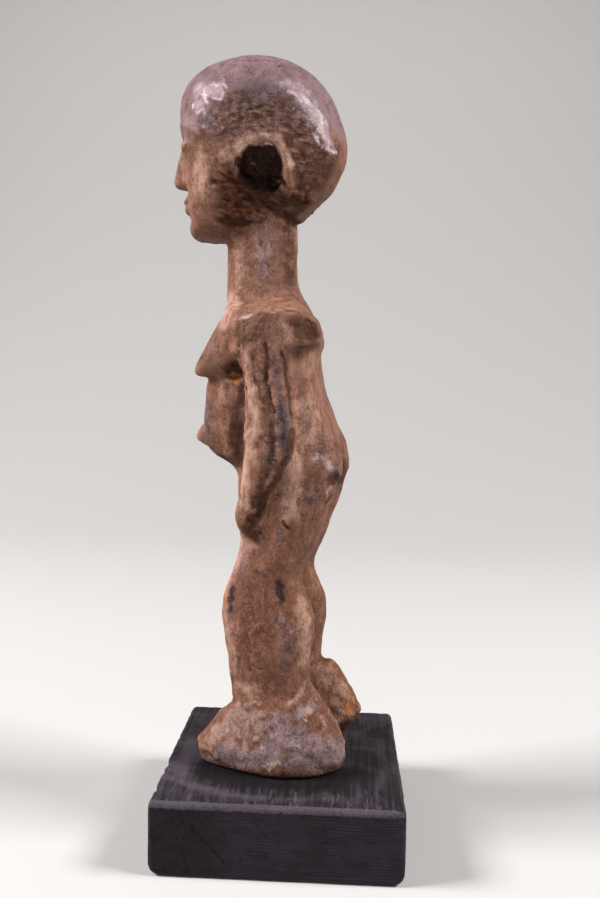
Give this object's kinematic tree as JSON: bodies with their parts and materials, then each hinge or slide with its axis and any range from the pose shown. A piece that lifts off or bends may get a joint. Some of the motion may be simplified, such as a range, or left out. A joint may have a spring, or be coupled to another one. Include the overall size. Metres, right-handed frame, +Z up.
{
  "type": "carved standing figure",
  "caption": "Standing wooden ancestor figure of a woman with arms at the sides, on a squared block of black-stained wood.",
  "frame": {"origin": "middle of the block's underside", "axes": "+Z up; the figure faces -Y, turned 8 degrees, and its left side is at +X"},
  "size_m": [0.066, 0.0671, 0.2142],
  "materials": {
    "carved_wood": "hand-carved brown wood, worn and handled to a soft sheen, with dark grey patina and pale worn patches",
    "black_stained_wood": "sawn hardwood stained black, dry and matt, worn grey along its top edges"
  },
  "bodies": {
    "root": {"figure": "carved_wood", "base_block": "black_stained_wood"}
  },
  "joints": []
}
